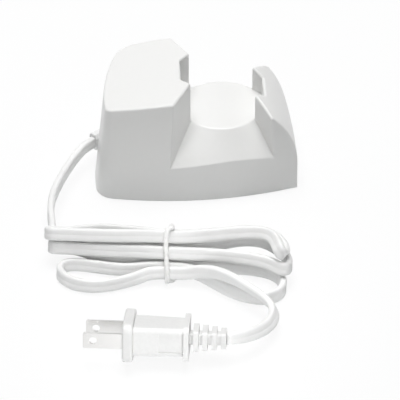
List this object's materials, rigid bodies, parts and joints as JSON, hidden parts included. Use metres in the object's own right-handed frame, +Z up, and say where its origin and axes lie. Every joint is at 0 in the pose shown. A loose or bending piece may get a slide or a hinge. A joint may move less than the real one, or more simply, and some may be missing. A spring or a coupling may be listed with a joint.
{
  "type": "electric toothbrush charging stand",
  "caption": "Sloped charging stand with an open-sided cradle for a toothbrush handle, a coil under its pad, and a flat mains cord folded into a tied hank with a flat-blade plug.",
  "frame": {"origin": "on the surface the feet rest on, under the middle of the stand's length and depth", "axes": "+Z up, +X along the stand from its tall end to its fin, -Y towards the front where the cord lies"},
  "size_m": [0.1109, 0.1758, 0.0496],
  "materials": {
    "upper_housing": "gloss",
    "base_plate": "satin",
    "base_gasket": "matte",
    "rubber_feet": "matte",
    "base_screws": "satin",
    "pot_core": "matte",
    "coil_bobbin": "matte",
    "primary_coil": "gloss",
    "coil_leads": "gloss",
    "circuit_board": "satin",
    "board_screws": "satin",
    "film_capacitor": "gloss",
    "electrolytic_capacitor": "gloss",
    "fuse_resistor": "satin",
    "rectifier_diodes": "satin",
    "switching_transistor": "satin",
    "mains_leads": "satin",
    "cord_gland": "satin",
    "cord_lead": "satin",
    "cord_hank": "satin",
    "cord_tail": "satin",
    "cord_tie": "satin",
    "plug_body": "satin",
    "plug_bridge": "satin",
    "plug_blade_front": "satin",
    "plug_blade_rear": "satin"
  },
  "bodies": {
    "root": {"upper_housing": "upper_housing", "base_plate": "base_plate", "base_gasket": "base_gasket", "rubber_feet": "rubber_feet", "base_screws": "base_screws", "pot_core": "pot_core", "coil_bobbin": "coil_bobbin", "primary_coil": "primary_coil", "coil_leads": "coil_leads", "circuit_board": "circuit_board", "board_screws": "board_screws", "film_capacitor": "film_capacitor", "electrolytic_capacitor": "electrolytic_capacitor", "fuse_resistor": "fuse_resistor", "rectifier_diodes": "rectifier_diodes", "switching_transistor": "switching_transistor", "mains_leads": "mains_leads", "cord_gland": "cord_gland", "cord_lead": "cord_lead", "cord_hank": "cord_hank", "cord_tail": "cord_tail", "cord_tie": "cord_tie", "plug_body": "plug_body", "plug_bridge": "plug_bridge", "plug_blade_front": "plug_blade_front", "plug_blade_rear": "plug_blade_rear"}
  },
  "joints": []
}
